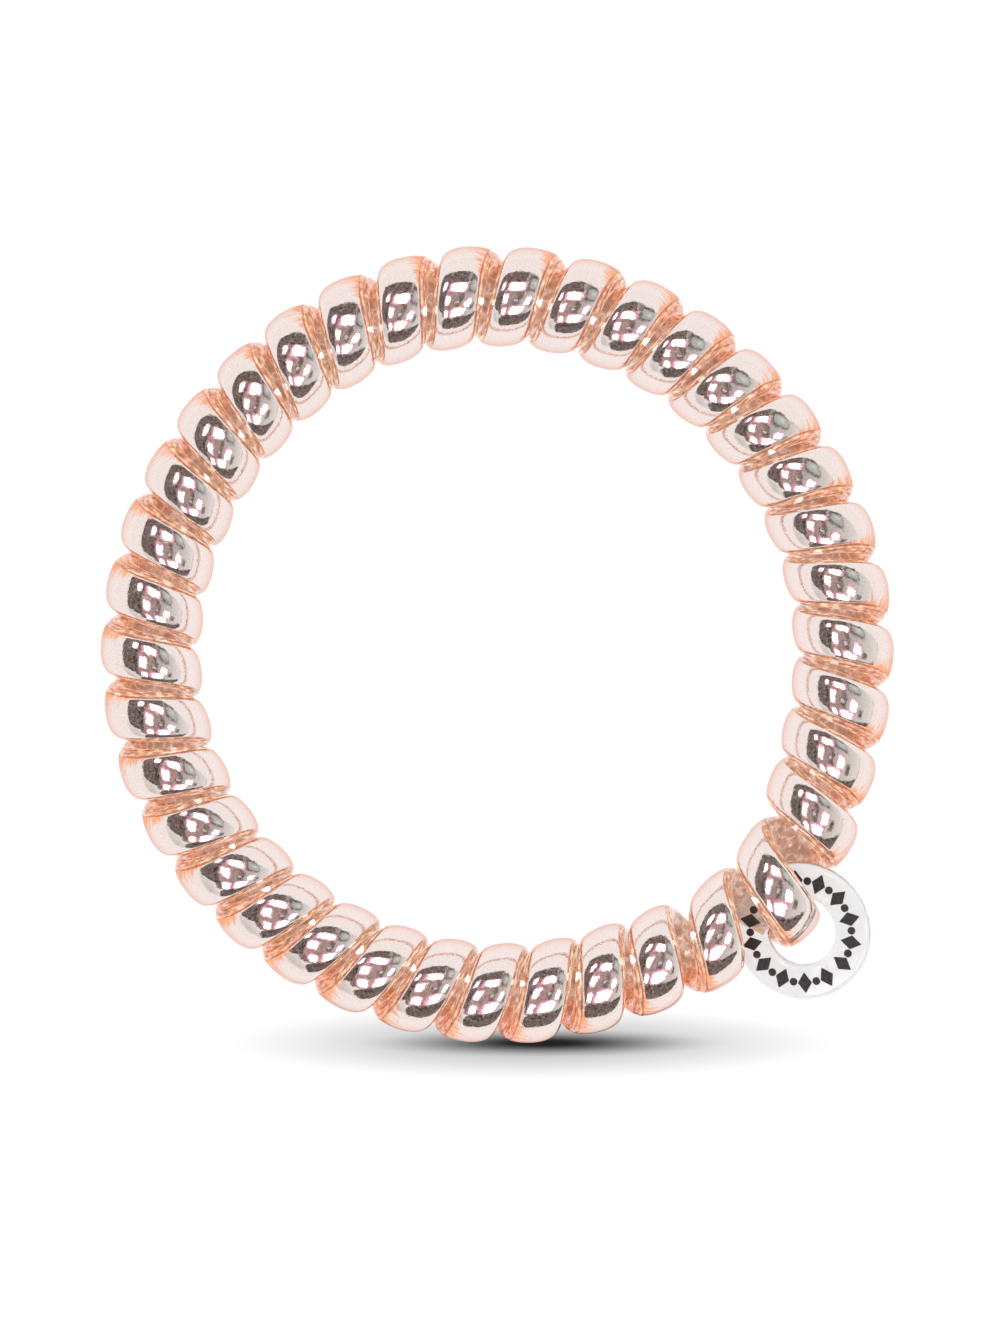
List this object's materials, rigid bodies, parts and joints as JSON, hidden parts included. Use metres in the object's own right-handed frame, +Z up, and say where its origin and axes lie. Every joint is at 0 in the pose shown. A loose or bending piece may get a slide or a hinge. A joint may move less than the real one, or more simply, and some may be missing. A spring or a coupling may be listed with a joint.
{
  "type": "spiral hair tie",
  "caption": "Closed ring of coiled clear cord with a metal film on its outer face, for tying hair, with a small washer charm threaded on one turn.",
  "frame": {"origin": "centre of the ring, on the surface that it lies on", "axes": "+Z up along the ring's axis, +Y the top of the ring as the picture shows it, charm towards +X and -Y"},
  "size_m": [0.052, 0.0522, 0.0065],
  "materials": {
    "clear_cord": "clear peach-tinted TPU, glossy",
    "metal_film": "mirror-bright pale rose film on the cord's outward face",
    "charm_plastic": "milky clear plastic, smooth",
    "charm_print": "dark grey printed marks"
  },
  "bodies": {
    "root": {"coil": "clear_cord", "charm_ring": "charm_plastic"}
  },
  "joints": []
}
